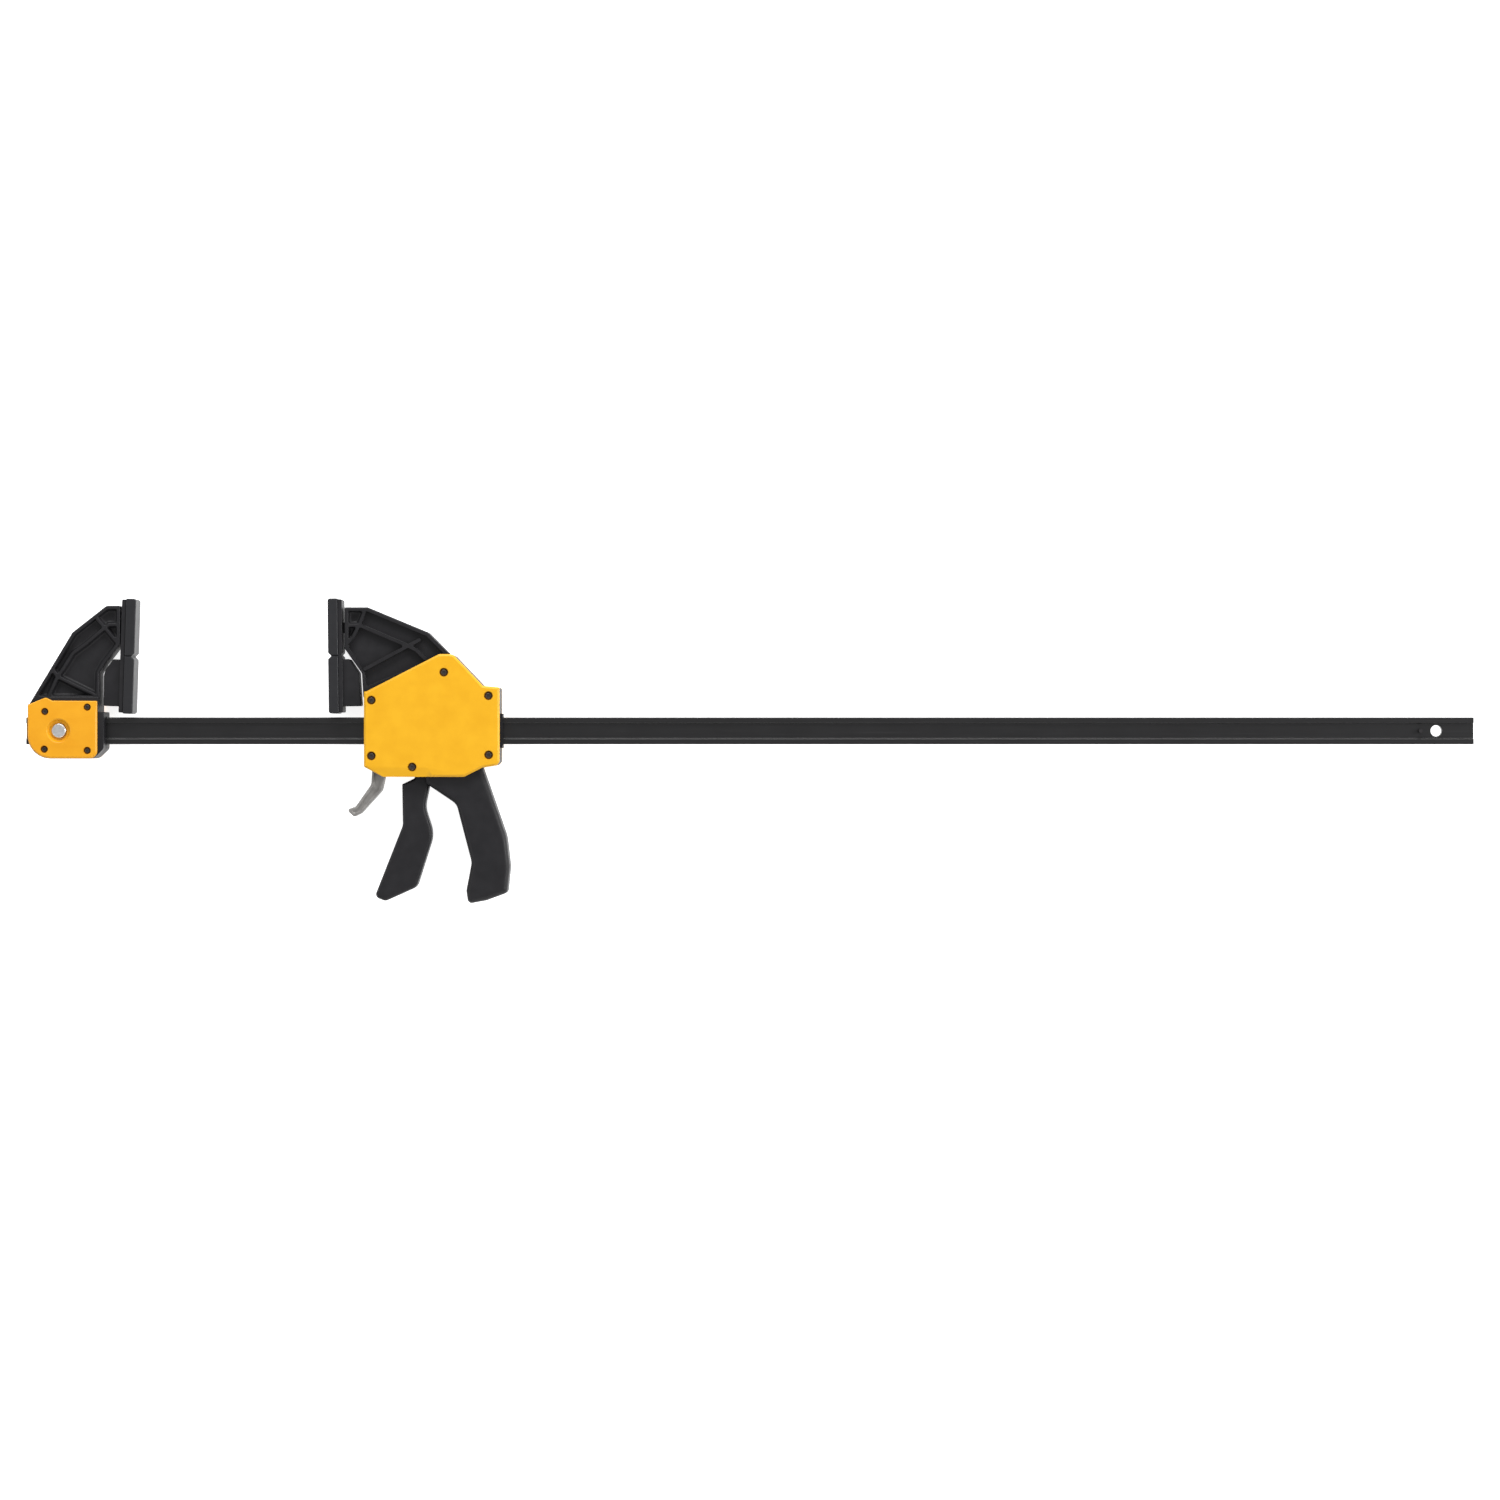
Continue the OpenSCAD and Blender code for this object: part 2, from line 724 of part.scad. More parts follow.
module release_lever() {
    color(steel_bright) at_housing() union() {
        translate([brake_pivot[0], brake_pivot[1], 0]) rotate(-brake_tilt)
            difference() {
                union() {
                    block([-brake_t / 2, -brake_reach, -brake_z], [brake_t / 2, 0, brake_z]);
                    rod([0, 0], brake_t / 2, -brake_z, brake_z);
                }
                block(
                    [-brake_t, brake_window_y[0], -slot_z - 0.2],
                    [brake_t, brake_window_y[1], slot_z + 0.2]
                );
            }
        slab(lever_outline, -brake_z + 0.4, brake_z - 0.4);
    }
}

module brake_spring() {
    color(steel_bright) at_housing() translate(brake_spring_at)
        rotate([0, 90, 0]) helix(brake_spring_r, brake_wire_r, 4, brake_spring_length, 12, 6);
}

bar();
bar_stop_pin();
fixed_jaw_body();
fixed_jaw_front_cover();
fixed_jaw_back_cover();
fixed_jaw_screws();
quick_change_button();
lock_peg();
button_spring();
fixed_pad_shoe();
fixed_pad_face();
fixed_pad_pin();
moving_jaw_body();
housing_front_cover();
housing_back_cover();
housing_screws();
front_bar_guide();
rear_bar_guide();
trigger();
trigger_pin();
drive_plates();
drive_spring();
release_lever();
brake_spring();
moving_pad_shoe();
moving_pad_face();
moving_pad_pin();
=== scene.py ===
"""Looks of the one-handed trigger bar clamp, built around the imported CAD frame.

Lengths in the mesh code are millimetres in the frame, and MM turns them into metres.
Outlines are cut from the CAD nodes, so every piece sits where the CAD says.
"""

import math

import bmesh
import bpy
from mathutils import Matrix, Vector, geometry


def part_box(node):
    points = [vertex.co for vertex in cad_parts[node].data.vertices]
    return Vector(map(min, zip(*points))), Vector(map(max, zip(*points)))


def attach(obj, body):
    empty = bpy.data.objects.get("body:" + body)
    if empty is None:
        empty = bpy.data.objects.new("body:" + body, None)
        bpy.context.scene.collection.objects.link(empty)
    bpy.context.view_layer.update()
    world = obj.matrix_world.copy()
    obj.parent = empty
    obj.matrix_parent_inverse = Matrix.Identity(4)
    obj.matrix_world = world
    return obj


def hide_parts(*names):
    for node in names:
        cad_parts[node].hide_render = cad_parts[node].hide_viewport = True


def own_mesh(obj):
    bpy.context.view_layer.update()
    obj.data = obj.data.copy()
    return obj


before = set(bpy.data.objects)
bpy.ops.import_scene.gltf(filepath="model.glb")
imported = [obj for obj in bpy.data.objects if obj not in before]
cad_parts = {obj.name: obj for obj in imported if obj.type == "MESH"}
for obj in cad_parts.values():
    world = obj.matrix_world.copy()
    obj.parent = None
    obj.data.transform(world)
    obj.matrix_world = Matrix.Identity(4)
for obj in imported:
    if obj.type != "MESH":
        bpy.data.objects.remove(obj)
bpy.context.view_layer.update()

MM = 0.001
WELD = 0.002  # points nearer than this are one point


# ---- measurements from the frame ----


def box_mm(node):
    low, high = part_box(node)
    return low / MM, high / MM


def centre_mm(node):
    low, high = box_mm(node)
    return (low + high) / 2


MID = centre_mm("bar").z
BAR_Y = centre_mm("bar").y
COVER_T = 3.0  # thickness of the yellow covers
COVER_TOP = box_mm("housing_front_cover")[1].z
BODY_Z = COVER_TOP - MID - COVER_T  # half depth of the frames between the covers
COVER_BASE = MID + BODY_Z  # where the front covers sit on the frames
ARM_Z = 12.0  # half depth of the arms
ARM_FLOOR = 7.5  # height of the recess floors above the middle plane
HANDLE_Z = 14.0  # half depth of the rear handle


# ---- outlines ----


def area(points):
    return sum(
        a[0] * b[1] - b[0] * a[1] for a, b in zip(points, points[1:] + points[:1])
    ) / 2


def middle(points):
    return (
        (min(p[0] for p in points) + max(p[0] for p in points)) / 2,
        (min(p[1] for p in points) + max(p[1] for p in points)) / 2,
    )


def direction(a, b):
    length = math.hypot(b[0] - a[0], b[1] - a[1])
    return ((b[0] - a[0]) / length, (b[1] - a[1]) / length)


def turn(u, v):
    return math.atan2(u[0] * v[1] - u[1] * v[0], u[0] * v[0] + u[1] * v[1])


def tidy(points, shortest=0.01, straight=math.radians(0.25)):
    """Points without repeats and without points along a straight edge."""
    points = [
        p for i, p in enumerate(points) if math.dist(p, points[i - 1]) > shortest
    ]
    kept = []
    for i, p in enumerate(points):
        before, after = points[i - 1], points[(i + 1) % len(points)]
        if abs(turn(direction(before, p), direction(p, after))) > straight:
            kept.append(p)
    return kept


def loops_at(node, at, axis=2):
    """Outlines where the plane cuts a CAD node, anticlockwise, largest first."""
    bm = bmesh.new()
    bm.from_mesh(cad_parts[node].data)
    bmesh.ops.remove_doubles(bm, verts=bm.verts, dist=1e-6)
    normal = Vector([float(k == axis) for k in range(3)])
    cut = bmesh.ops.bisect_plane(
        bm,
        geom=bm.verts[:] + bm.edges[:] + bm.faces[:],
        plane_co=normal * at * MM,
        plane_no=normal,
        dist=1e-7,
    )["geom_cut"]
    links = {}
    for edge in cut:
        if isinstance(edge, bmesh.types.BMEdge):
            a, b = edge.verts
            links.setdefault(a, []).append(b)
            links.setdefault(b, []).append(a)
    u, v = [k for k in range(3) if k != axis]
    loops, seen = [], set()
    for start in links:
        if start in seen:
            continue
        loop, here = [], start
        while here is not None:
            seen.add(here)
            loop.append((here.co[u] / MM, here.co[v] / MM))
            here = next((n for n in links[here] if n not in seen), None)
        loop = tidy(loop)
        if len(loop) > 2:
            loops.append(loop if area(loop) > 0 else loop[::-1])
    bm.free()
    return sorted(loops, key=area, reverse=True)


def clip(points, at, towards):
    """The part of an outline on the side of the line through at that towards points to."""
    side = [
        (p[0] - at[0]) * towards[0] + (p[1] - at[1]) * towards[1] for p in points
    ]
    kept = []
    for i, p in enumerate(points):
        q, s, t = points[i - 1], side[i], side[i - 1]
        if (s >= 0) != (t >= 0):
            share = t / (t - s)
            kept.append((q[0] + (p[0] - q[0]) * share, q[1] + (p[1] - q[1]) * share))
        if s >= 0:
            kept.append(p)
    return tidy(kept)


def refined(points, passes=1):
    """Arcs with twice the points at each pass; straight edges and sharp corners stay."""
    like_span, like_turn, least_turn, most_turn = 1.6, 0.35, 0.01, 0.5
    for _ in range(passes):
        n = len(points)
        ways = [direction(points[i], points[(i + 1) % n]) for i in range(n)]
        spans = [math.dist(points[i], points[(i + 1) % n]) for i in range(n)]
        turns = [turn(ways[i - 1], ways[i]) for i in range(n)]
        finer = []
        for i, p in enumerate(points):
            q = points[(i + 1) % n]
            a, b = turns[i], turns[(i + 1) % n]
            big, small = max(abs(a), abs(b)), min(abs(a), abs(b))
            short = spans[i] < like_span * min(spans[i - 1], spans[(i + 1) % n])
            even = a * b > 0 and small > like_turn * big and least_turn < big < most_turn
            finer.append(p)
            if short and even:
                bulge = math.tan(math.copysign(big, a) / 4) / 2
                finer.append(
                    (
                        (p[0] + q[0]) / 2 + (q[1] - p[1]) * bulge,
                        (p[1] + q[1]) / 2 - (q[0] - p[0]) * bulge,
                    )
                )
        points = finer
    return points


def softened(points, r, least=0.3):
    """The outline with its sharp corners rounded to about r."""
    most_of_edge, turn_per_step = 0.45, 0.3
    rounded = []
    for i, p in enumerate(points):
        a, b = points[i - 1], points[(i + 1) % len(points)]
        bend = turn(direction(a, p), direction(p, b))
        if abs(bend) < least:
            rounded.append(p)
            continue
        u, v = Vector(direction(p, a)), Vector(direction(p, b))
        half = (math.pi - abs(bend)) / 2
        nearest = min(math.dist(a, p), math.dist(p, b))
        reach = min(r / math.tan(half), most_of_edge * nearest)
        radius = reach * math.tan(half)
        centre = Vector(p) + (u + v).normalized() * radius / math.sin(half)
        start = Vector(p) + u * reach - centre
        first = math.atan2(start.y, start.x)
        steps = max(2, math.ceil(abs(bend) / turn_per_step))
        for k in range(steps + 1):
            angle = first + bend * k / steps
            rounded.append(
                (centre.x + radius * math.cos(angle), centre.y + radius * math.sin(angle))
            )
    return rounded


def inset(points, d):
    """The outline moved inwards by d, point for point; edges that vanish share a point."""
    n = len(points)
    ways = [direction(points[i], points[(i + 1) % n]) for i in range(n)]
    bases = [
        (points[i][0] - ways[i][1] * d, points[i][1] + ways[i][0] * d)
        for i in range(n)
    ]

    def meet(a, b):
        (ax, ay), (bx, by) = ways[a], ways[b]
        cross = ax * by - ay * bx
        if abs(cross) < 1e-6:
            return bases[b]
        dx, dy = bases[b][0] - bases[a][0], bases[b][1] - bases[a][1]
        s = (dx * by - dy * bx) / cross
        return (bases[a][0] + ax * s, bases[a][1] + ay * s)

    alive = list(range(n))
    while True:
        starts = [meet(alive[j - 1], alive[j]) for j in range(len(alive))]
        worst, worst_j = -1e-9, None
        for j, i in enumerate(alive):
            a, b = starts[j], starts[(j + 1) % len(alive)]
            along = (b[0] - a[0]) * ways[i][0] + (b[1] - a[1]) * ways[i][1]
            if along < worst:
                worst, worst_j = along, j
        if worst_j is None or len(alive) <= 3:
            break
        alive.pop(worst_j)
    place = dict(zip(alive, starts))
    moved = [None] * n
    following = starts[0]
    for i in range(n - 1, -1, -1):
        following = place.get(i, following)
        moved[i] = following
    return moved


def side_of(a, b, p):
    """Positive when p is to the left of the line from a to b."""
    return (b[0] - a[0]) * (p[1] - a[1]) - (b[1] - a[1]) * (p[0] - a[0])


def sound(points, moved, d):
    """Whether an outline moved by d keeps its sense, its corners near and its edges apart."""
    longest_mitre, slack = 7, 0.01
    if area(moved) <= 0:
        return False
    limit = longest_mitre * abs(d) + slack
    if any(math.dist(p, q) > limit for p, q in zip(points, moved)):
        return False
    edges = list(zip(moved, moved[1:] + moved[:1]))
    for i, (a, b) in enumerate(edges):
        for c, e in edges[i + 2 :]:
            apart = side_of(a, b, c) * side_of(a, b, e) < 0
            if apart and side_of(c, e, a) * side_of(c, e, b) < 0:
                return False
    return True


def circle(at, r, count=48):
    return [
        (
            at[0] + r * math.cos(2 * math.pi * k / count),
            at[1] + r * math.sin(2 * math.pi * k / count),
        )
        for k in range(count)
    ]


def rim(r, steps=4):
    """(inset, depth) of a rounded rim, from the wall to the flat face."""
    return [
        (
            r * (1 - math.cos(math.pi / 2 * k / steps)),
            r * (1 - math.sin(math.pi / 2 * k / steps)),
        )
        for k in range(steps + 1)
    ]


def rounded_levels(low, high, r, steps=4):
    """(inset, z) from the bottom face of a slab to its top face, with rounded rims."""
    edge = rim(r, steps)
    return [(d, low + h) for d, h in reversed(edge)] + [(d, high - h) for d, h in edge]


# ---- solids ----


def ring(bm, points, z):
    return [bm.verts.new((x * MM, y * MM, z * MM)) for x, y in points]


def join_rings(bm, rings):
    for low, high in zip(rings, rings[1:]):
        for i in range(len(low)):
            j = (i + 1) % len(low)
            bm.faces.new((low[i], low[j], high[j], high[i]))


def distinct(loop):
    return [v for i, v in enumerate(loop) if (v.co - loop[i - 1].co).length > WELD * MM]


def cap(bm, rings):
    rings = [distinct(r) for r in rings]
    verts = [v for r in rings for v in r]
    for corners in geometry.tessellate_polygon([[v.co for v in r] for r in rings]):
        if len(set(corners)) == 3:
            bm.faces.new([verts[k] for k in corners])


def cleaned(bm):
    bmesh.ops.remove_doubles(bm, verts=bm.verts, dist=WELD * MM)
    bmesh.ops.dissolve_degenerate(bm, edges=bm.edges, dist=1e-7)
    bmesh.ops.recalc_face_normals(bm, faces=bm.faces)
    return bm


def solid(outer, levels, bores=(), top_pockets=(), bottom_pockets=()):
    """Closed solid lofted through levels of (inset, z).

    A bore's path of (growth, z) runs from the bottom face to the top face, and a
    pocket's path runs from its floor to the face that it is sunk in."""
    bm = bmesh.new()
    rings = [ring(bm, inset(outer, d), z) for d, z in levels]
    join_rings(bm, rings)
    bottom, top = [rings[0]], [rings[-1]]
    for points, path in bores:
        rings = [ring(bm, inset(points, -g), z) for g, z in path]
        join_rings(bm, rings)
        bottom.append(rings[0])
        top.append(rings[-1])
    for pockets, face in ((top_pockets, top), (bottom_pockets, bottom)):
        for points, path in pockets:
            rings = [ring(bm, inset(points, -g), z) for g, z in path]
            join_rings(bm, rings)
            cap(bm, [rings[0]])
            face.append(rings[-1])
    cap(bm, bottom)
    cap(bm, top)
    return cleaned(bm)


def box(low, high):
    outline = [(low[0], low[1]), (high[0], low[1]), (high[0], high[1]), (low[0], high[1])]
    return solid(outline, [(0, low[2]), (0, high[2])])


def kept_side(bm, at, towards):
    """The closed part of a solid on the side of a plane that towards points to."""
    cut = bmesh.ops.bisect_plane(
        bm,
        geom=bm.verts[:] + bm.edges[:] + bm.faces[:],
        plane_co=Vector(at) * MM,
        plane_no=Vector(towards),
        clear_inner=True,
    )["geom_cut"]
    edges = [e for e in cut if isinstance(e, bmesh.types.BMEdge)]
    bmesh.ops.triangle_fill(bm, use_beauty=True, edges=edges)
    return cleaned(bm)


def cad_copy(node):
    bm = bmesh.new()
    bm.from_mesh(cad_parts[node].data)
    return cleaned(bm)


def as_object(bm, name):
    mesh = bpy.data.meshes.new(name)
    bm.to_mesh(mesh)
    bm.free()
    obj = bpy.data.objects.new(name, mesh)
    bpy.context.scene.collection.objects.link(obj)
    return obj


def combined(first, second, operation):
    """Boolean of two closed solids."""
    a, b = as_object(first, "first"), as_object(second, "second")
    step = a.modifiers.new("combine", "BOOLEAN")
    step.object, step.operation, step.solver = b, operation, "EXACT"
    bpy.context.view_layer.update()
    result = a.evaluated_get(bpy.context.evaluated_depsgraph_get()).to_mesh()
    bm = bmesh.new()
    bm.from_mesh(result)
    for obj in (a, b):
        mesh = obj.data
        bpy.data.objects.remove(obj)
        bpy.data.meshes.remove(mesh)
    return cleaned(bm)


def merged(*parts):
    """Several closed solids as one mesh."""
    bm = bmesh.new()
    for part in parts:
        mesh = bpy.data.meshes.new("part")
        part.to_mesh(mesh)
        part.free()
        bm.from_mesh(mesh)
        bpy.data.meshes.remove(mesh)
    return bm


def mirrored(bm):
    """The same solid on the other side of the clamp's middle plane."""
    for v in bm.verts:
        v.co.z = 2 * MID * MM - v.co.z
    bmesh.ops.recalc_face_normals(bm, faces=bm.faces)
    return bm


def piece(bm, name, material, body, nodes=(), sharp=38):
    """A finished piece on a body; edges over sharp degrees stay crisp."""
    obj = as_object(bm, name)
    mesh = obj.data
    mesh.polygons.foreach_set("use_smooth", [True] * len(mesh.polygons))
    mesh.set_sharp_from_angle(angle=math.radians(sharp))
    mesh.materials.append(material)
    obj.modifiers.new("normals", "WEIGHTED_NORMAL").keep_sharp = True
    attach(obj, body)
    if nodes:
        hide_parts(*nodes)
    return obj


# ---- materials ----


class Finish:
    """A material whose colour, roughness and bump come from noise in millimetre scales."""

    def __init__(self, name, metallic=0.0, specular=0.5, coat=0.0, coat_roughness=0.3):
        self.material = bpy.data.materials.new(name)
        self.material.use_nodes = True
        self.tree = self.material.node_tree
        self.shader = self.tree.nodes["Principled BSDF"]
        self.shader.inputs["Metallic"].default_value = metallic
        self.shader.inputs["Specular IOR Level"].default_value = specular
        self.shader.inputs["Coat Weight"].default_value = coat
        self.shader.inputs["Coat Roughness"].default_value = coat_roughness
        self.coords = self.add("ShaderNodeTexCoord").outputs["Object"]
        self.normal = None

    def add(self, kind, links=(), **settings):
        node = self.tree.nodes.new(kind)
        for key, value in settings.items():
            setattr(node, key, value)
        for socket, value in dict(links).items():
            if isinstance(value, bpy.types.NodeSocket):
                self.tree.links.new(value, node.inputs[socket])
            else:
                node.inputs[socket].default_value = value
        return node

    def noise(self, size, detail=3.0, roughness=0.5, stretch=(1, 1, 1), shift=0.0):
        """Noise whose features are about size millimetres, longer where stretch is."""
        scale = tuple(1 / (size * MM * s) for s in stretch)
        mapping = self.add(
            "ShaderNodeMapping",
            {"Vector": self.coords, "Location": (shift, shift, shift), "Scale": scale},
        )
        return self.add(
            "ShaderNodeTexNoise",
            {
                "Vector": mapping.outputs["Vector"],
                "Scale": 1.0,
                "Detail": detail,
                "Roughness": roughness,
            },
        ).outputs["Fac"]

    def spread(self, value, low, high, to_low, to_high):
        return self.add(
            "ShaderNodeMapRange",
            {
                "Value": value,
                "From Min": low,
                "From Max": high,
                "To Min": to_low,
                "To Max": to_high,
            },
        ).outputs["Result"]

    def maths(self, operation, a, b):
        return self.add("ShaderNodeMath", {0: a, 1: b}, operation=operation).outputs[0]

    def mix(self, share, a, b):
        node = self.add("ShaderNodeMix", {"Factor": share}, data_type="RGBA")
        for socket, value in ((node.inputs[6], a), (node.inputs[7], b)):
            if isinstance(value, bpy.types.NodeSocket):
                self.tree.links.new(value, socket)
            else:
                socket.default_value = (*value, 1.0)
        return node.outputs[2]

    def bump(self, height, strength, depth):
        links = {"Height": height, "Strength": strength, "Distance": depth * MM}
        if self.normal is not None:
            links["Normal"] = self.normal
        self.normal = self.add("ShaderNodeBump", links).outputs["Normal"]

    def done(self, colour, roughness):
        for socket, value in (
            ("Base Color", colour),
            ("Roughness", roughness),
            ("Normal", self.normal),
        ):
            self.tree.links.new(value, self.shader.inputs[socket])
        return self.material


def moulded_black():
    f = Finish("moulded_black", specular=0.26)
    mottle = f.noise(9, 4, 0.6)
    grain = f.noise(0.45, 2, 0.6)
    scuff = f.noise(2.2, 5, 0.7, (6, 1, 1), 3.1)
    dark, light = (0.0105, 0.0102, 0.0118), (0.0135, 0.013, 0.015)
    colour = f.mix(f.spread(mottle, 0.3, 0.7, 0, 1), dark, light)
    colour = f.mix(f.spread(scuff, 0.66, 0.8, 0, 0.35), colour, (0.035, 0.035, 0.038))
    f.bump(grain, 0.35, 0.04)
    f.bump(mottle, 0.15, 0.15)
    return f.done(colour, f.spread(mottle, 0.3, 0.7, 0.42, 0.55))


def moulded_yellow(name, green):
    """Orange yellow; the green share of the colour sets how orange it is."""
    f = Finish(name, specular=0.4)
    mottle = f.noise(14, 4, 0.55)
    grain = f.noise(0.5, 2, 0.6)
    specks = f.noise(1.1, 2, 0.5, shift=1.7)
    dark, light = (0.69, green - 0.02, 0.0035), (0.74, green + 0.02, 0.005)
    colour = f.mix(f.spread(mottle, 0.3, 0.7, 0, 1), dark, light)
    colour = f.mix(f.spread(specks, 0.68, 0.8, 0, 0.25), colour, (0.56, 0.25, 0.004))
    f.bump(grain, 0.3, 0.035)
    f.bump(mottle, 0.1, 0.2)
    return f.done(colour, f.spread(mottle, 0.3, 0.7, 0.36, 0.46))


def soft_rubber():
    f = Finish("soft_rubber", specular=0.25, coat=0.35, coat_roughness=0.3)
    mottle = f.noise(5, 4, 0.6)
    grain = f.noise(0.3, 3, 0.7)
    dust = f.noise(1.6, 5, 0.75, shift=5.3)
    dark, light = (0.009, 0.0092, 0.0115), (0.012, 0.0122, 0.0145)
    colour = f.mix(f.spread(mottle, 0.3, 0.7, 0, 1), dark, light)
    colour = f.mix(f.spread(dust, 0.6, 0.75, 0, 0.3), colour, (0.04, 0.04, 0.044))
    f.bump(grain, 0.5, 0.05)
    f.bump(mottle, 0.2, 0.2)
    return f.done(colour, f.spread(dust, 0.35, 0.7, 0.62, 0.8))


def blackened_bar():
    f = Finish("blackened_bar", specular=0.5)
    streaks = f.noise(1.1, 4, 0.65, (60, 1, 1))
    fine = f.noise(0.35, 3, 0.6, (25, 1, 1), 2.4)
    patches = f.noise(28, 4, 0.6)
    dark, light = (0.0045, 0.0043, 0.005), (0.007, 0.0068, 0.0076)
    colour = f.mix(f.spread(patches, 0.3, 0.7, 0, 1), dark, light)
    colour = f.mix(f.spread(streaks, 0.58, 0.78, 0, 0.5), colour, (0.022, 0.021, 0.023))
    f.bump(streaks, 0.08, 0.04)
    f.bump(fine, 0.12, 0.02)
    return f.done(colour, f.spread(streaks, 0.3, 0.75, 0.3, 0.42))


def plated_steel(name, tone, rough, size=1.2):
    f = Finish(name, metallic=1.0)
    mottle = f.noise(size * 3, 4, 0.6)
    marks = f.noise(size * 0.3, 4, 0.7, shift=4.2)
    dark = tuple(c * 0.78 for c in tone)
    colour = f.mix(f.spread(mottle, 0.3, 0.7, 0, 1), dark, tone)
    f.bump(marks, 0.25, 0.02)
    return f.done(colour, f.spread(marks, 0.3, 0.7, rough, rough + 0.14))


def turned_steel(at):
    """Bright steel with rings about the axis at, as a lathe leaves them."""
    f = Finish("turned_steel", metallic=1.0)
    apart = f.add(
        "ShaderNodeVectorMath",
        {0: f.coords, 1: (at[0] * MM, at[1] * MM, 0.0)},
        operation="SUBTRACT",
    ).outputs["Vector"]
    flat = f.add(
        "ShaderNodeVectorMath", {0: apart, 1: (1.0, 1.0, 0.0)}, operation="MULTIPLY"
    ).outputs["Vector"]
    radius = f.add("ShaderNodeVectorMath", {0: flat}, operation="LENGTH").outputs["Value"]
    radians_per_metre, wander = 21000.0, 0.00025
    wobble = f.maths("MULTIPLY", f.noise(3, 2, 0.5), wander)
    phase = f.maths("MULTIPLY", f.maths("ADD", radius, wobble), radians_per_metre)
    rings = f.maths("SINE", phase, 0.0)
    mottle = f.noise(2.5, 4, 0.6)
    colour = f.mix(f.spread(mottle, 0.3, 0.7, 0, 1), (0.7, 0.7, 0.71), (0.8, 0.8, 0.81))
    f.bump(rings, 0.25, 0.02)
    return f.done(colour, f.spread(mottle, 0.3, 0.7, 0.3, 0.4))


def cast_lever():
    f = Finish("cast_lever", metallic=0.75, specular=0.5)
    mottle = f.noise(6, 5, 0.6)
    grain = f.noise(0.4, 3, 0.65)
    colour = f.mix(f.spread(mottle, 0.3, 0.7, 0, 1), (0.26, 0.25, 0.24), (0.36, 0.35, 0.335))
    f.bump(grain, 0.35, 0.035)
    f.bump(mottle, 0.15, 0.15)
    return f.done(colour, f.spread(grain, 0.3, 0.7, 0.42, 0.56))


black = moulded_black()
housing_yellow = moulded_yellow("housing_yellow", 0.365)
# The fixed jaw's covers are the same yellow plastic as the housing. Their lower green share
# makes a darker, more orange copy, which is painted shade.
painted_shade_jaw_yellow = moulded_yellow("painted_shade_jaw_yellow", 0.315)
rubber = soft_rubber()
bar_steel = blackened_bar()
screw_steel = plated_steel("screw_zinc", (0.1, 0.088, 0.08), 0.34)
dark_steel = plated_steel("dark_steel", (0.06, 0.057, 0.06), 0.4)
pin_steel = plated_steel("pin_steel", (0.55, 0.55, 0.56), 0.3)
spring_steel = plated_steel("spring_wire", (0.42, 0.42, 0.43), 0.32, 0.8)
button_steel = turned_steel(centre_mm("lock_peg"))
lever_metal = cast_lever()


# ---- bar ----


def along_x(points, levels):
    """A solid lofted along X from an outline in Y and Z."""
    bm = solid(points, levels)
    for v in bm.verts:
        v.co = Vector((v.co.z, v.co.x, v.co.y))
    bmesh.ops.recalc_face_normals(bm, faces=bm.faces)
    return bm


def build_bar():
    low, high = box_mm("bar")
    section = loops_at("bar", centre_mm("bar").x, axis=0)[0]
    end_round, hole_r, edge, smallest_hole = 0.25, 4.65, 0.5, 40
    half_web, past = 3.5, 2
    body = along_x(section, rounded_levels(low.x, high.x, end_round, 3))
    flare = [(-edge, MID - half_web - past), (-edge, MID - half_web)]
    flare += [(0, MID - half_web + edge), (0, MID + half_web - edge)]
    flare += [(-edge, MID + half_web), (-edge, MID + half_web + past)]
    for loop in loops_at("bar", MID)[1:]:
        if area(loop) > smallest_hole:
            body = combined(body, solid(circle(middle(loop), hole_r, 64), flare), "DIFFERENCE")
    piece(body, "bar_body", bar_steel, "bar_and_fixed_jaw", ["bar"])


# ---- covers and screws ----


SCREW_LEDGE = 0.7  # thickness of cover under each screw head


def screw_spots(node):
    """Centres of a cover's screw holes, which are smaller than the button's opening."""
    below_top, largest = 0.3, 60
    loops = loops_at(node, COVER_TOP - below_top)[1:]
    return [middle(loop) for loop in loops if area(loop) < largest]


def cover_solid(node, hole_r, bevel, extra=()):
    """Cover with a bevelled rim and stepped screw holes, drawn on the front."""
    top, base = COVER_TOP, COVER_BASE
    foot, shank_hole_r, ledge = 0.35, 1.9, base + SCREW_LEDGE
    outline = refined(loops_at(node, base + 1)[0], 2)
    levels = [(foot, base), (0, base + foot), (0, top - bevel * 0.85)]
    levels += [(bevel * 0.1, top - bevel * 0.7), (bevel * 0.9, top - 0.08), (bevel, top)]
    path = [(shank_hole_r - hole_r, base), (shank_hole_r - hole_r, ledge), (0, ledge)]
    path += [(0, top - 0.4), (0.1, top - 0.12), (0.35, top)]
    bores = [(circle(at, hole_r, 40), path) for at in screw_spots(node)]
    return solid(outline, levels, bores + list(extra))


def sloped_off(bm, low, high, planes):
    """Takes a shallow facet off a cover: the part of a block above every plane.

    A plane is a point and its upward normal, and the block from low to high keeps
    the cut to one side of the crease."""
    chip = box(low, high)
    for at, up in planes:
        chip = kept_side(chip, at, up)
    return combined(bm, chip, "DIFFERENCE")


